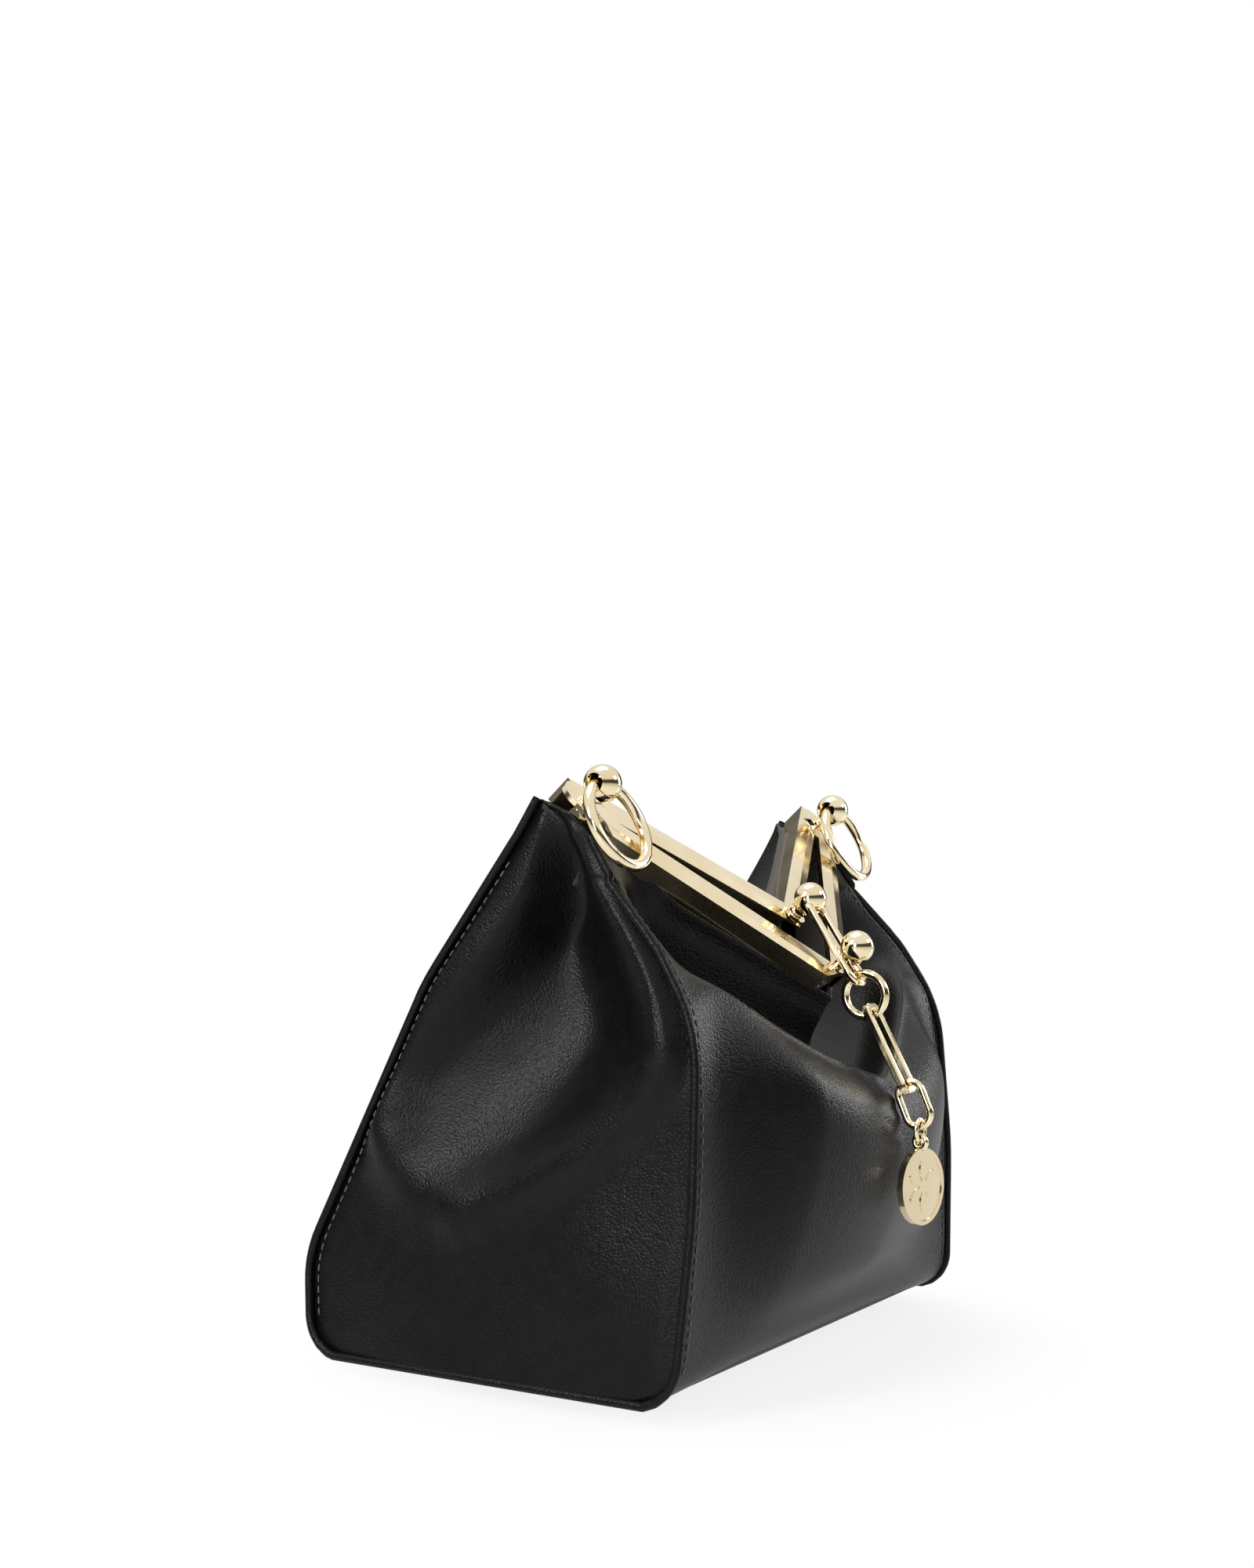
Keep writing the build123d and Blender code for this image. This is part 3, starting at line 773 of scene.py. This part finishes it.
for name, side in (("Left", -1), ("Right", 1)):
    # two columns in from the front panel's edge
    column = 2 if side < 0 else frontGrid.shape[1] - 3
    heights = frontGrid[:, column, 2]
    rows = (heights > stitchLook["from"]) & (heights < stitchLook["to"])
    path = frontGrid[rows, column]
    inner = frontGrid[rows, column - 2 * side]
    slope = np.gradient(path, axis=0)
    normals = np.cross(slope, inner - path) * side
    row = stitchRow("frontStitches" + name, path, normals, stitchLook)
    followOpening(row)
    # and up the back edge of the gusset
    path = []
    for line in gussetGrids[side][14:-22]:
        y = line[-1, 1] - stitchLook["inset"]
        path.append((np.interp(y, line[:, 1], line[:, 0]), y, line[0, 2]))
    normals = np.tile((side, 0, 0.1), (len(path), 1))
    row = stitchRow("gussetStitches" + name, path, normals, stitchLook)
    followOpening(row)
print("stitches made")

# studio

floorLook = {
    "half": 30.0,
    "near": 0.08,
    "far": 0.145,
    "shade": 0.84,
    "colour": (0.9, 0.9, 0.9, 1),
    "rough": 0.16,
    "shine": 0.3,
    "mirror": 0.5,
}


def makeFloor(look):
    # lit near the bag, where its shadow falls, and plain white further out
    material, tree, shader, coords = newMaterial("floor")
    link = tree.links.new
    shader.inputs["Base Color"].default_value = look["colour"]
    shader.inputs["Roughness"].default_value = look["rough"]
    shader.inputs["Specular IOR Level"].default_value = look["shine"]
    away = tree.nodes.new("ShaderNodeVectorMath")
    away.operation = "LENGTH"
    link(coords.outputs["Object"], away.inputs[0])
    spread = addNode(
        tree, "ShaderNodeMapRange", From_Min=look["near"], From_Max=look["far"], To_Min=look["shade"],
    )
    spread.interpolation_type = "SMOOTHSTEP"
    link(away.outputs["Value"], spread.inputs["Value"])
    rays = tree.nodes.new("ShaderNodeLightPath").outputs
    mirrored = mathNode(tree, "MULTIPLY", rays["Is Glossy Ray"], look["mirror"])
    seen = mathNode(tree, "MAXIMUM", rays["Is Camera Ray"], mirrored)
    share = mathNode(tree, "MULTIPLY", spread.outputs["Result"], seen)
    white = addNode(tree, "ShaderNodeEmission", Color=(1, 1, 1, 1), Strength=1.0)
    mixed = mixShaders(tree, share, shader.outputs[0], white.outputs[0])
    link(mixed, tree.nodes["Material Output"].inputs["Surface"])
    return material


def mixShaders(tree, share, first, second):
    node = tree.nodes.new("ShaderNodeMixShader")
    for socket, value in zip(node.inputs, (share, first, second)):
        tree.links.new(value, socket)
    return node.outputs[0]


half = floorLook["half"]
floor = makeMesh(
    "floor", [(-half, -half, 0), (half, -half, 0), (half, half, 0), (-half, half, 0)],
    [(0, 1, 2, 3)], makeFloor(floorLook), False,
)

# what the metal mirrors, from straight down to straight up: a floor, a dark band at the
# height of the bag and a bright ceiling
worldLook = {
    "fill": 0.5,
    "mirrored": [
        (0.0, (0.30, 0.29, 0.28, 1)), (0.49, (0.40, 0.39, 0.38, 1)), (0.54, (0.05, 0.05, 0.045, 1)),
        (0.66, (0.09, 0.09, 0.08, 1)), (0.71, (0.95, 0.94, 0.92, 1)), (1.0, (1.0, 1.0, 1.0, 1)),
    ],
}


def makeWorld(look):
    world = bpy.data.worlds.new("studio")
    world.use_nodes = True
    tree = world.node_tree
    tree.nodes.clear()
    link = tree.links.new
    place = tree.nodes.new("ShaderNodeTexCoord")
    split = tree.nodes.new("ShaderNodeSeparateXYZ")
    link(place.outputs["Generated"], split.inputs[0])
    height = addNode(tree, "ShaderNodeMapRange", From_Min=-1.0)
    link(split.outputs["Z"], height.inputs["Value"])
    wall = colourRamp(tree, look["mirrored"])
    link(height.outputs["Result"], wall.inputs["Fac"])
    mirrored = tree.nodes.new("ShaderNodeBackground")
    link(wall.outputs["Color"], mirrored.inputs["Color"])
    seen = addNode(tree, "ShaderNodeBackground", Color=(1, 1, 1, 1), Strength=1.0)
    fill = addNode(tree, "ShaderNodeBackground", Color=(1, 1, 1, 1), Strength=look["fill"])
    rays = tree.nodes.new("ShaderNodeLightPath").outputs
    lit = mixShaders(tree, rays["Is Glossy Ray"], fill.outputs[0], mirrored.outputs[0])
    mixed = mixShaders(tree, rays["Is Camera Ray"], lit, seen.outputs[0])
    link(mixed, tree.nodes.new("ShaderNodeOutputWorld").inputs[0])
    return world


bpy.context.scene.world = makeWorld(worldLook)

# each light's place, what it is aimed at, its size and its power
lightLook = {
    "top": ((0.1, 0.2, 1.5), (0, 0, 0.1), (1.0, 0.8), 7),
    "leftBox": ((-1.1, 0.3, 0.82), (-0.1, 0, 0.1), (0.35, 0.45), 10),
    "sideBox": ((-1.45, -0.25, 0.42), (-0.1, 0, 0.06), (0.3, 0.5), 5.5),
    "frontBox": ((0.7, -1.3, 0.9), (0, 0, 0.08), (0.5, 0.4), 3),
    "rightBox": ((1.2, -0.7, 0.45), (0, 0, 0.08), (0.4, 0.6), 6),
}


def addLight(name, place, aim, size, power):
    data = bpy.data.lights.new(name, "AREA")
    data.shape = "RECTANGLE"
    data.size, data.size_y = size
    data.energy = power
    obj = bpy.data.objects.new(name, data)
    bpy.context.scene.collection.objects.link(obj)
    obj.location = Vector(place) + Vector((0, baseY, 0))
    obj.rotation_euler = (Vector(aim) - Vector(place)).to_track_quat("-Z", "Y").to_euler()


for name, values in lightLook.items():
    addLight(name, *values)
print("studio made")

# camera

cameraLook = {
    "place": (-0.5496, -0.3275, 0.1441),
    "azimuth": -58.34,
    "pitch": 4.25,
    "lens": 41.32,
    "sensor": 36,
    "near": 0.01,
}
cameraData = bpy.data.cameras.new("camera")
camera = bpy.data.objects.new("camera", cameraData)
bpy.context.scene.collection.objects.link(camera)
camera.location = Vector(cameraLook["place"]) + Vector((0, baseY, 0))
camera.rotation_euler = (
    math.radians(90 + cameraLook["pitch"]), 0, math.radians(cameraLook["azimuth"]),
)
cameraData.lens = cameraLook["lens"]
cameraData.sensor_width = cameraLook["sensor"]
cameraData.clip_start = cameraLook["near"]
bpy.context.scene.camera = camera
bpy.context.scene.view_settings.view_transform = "Standard"
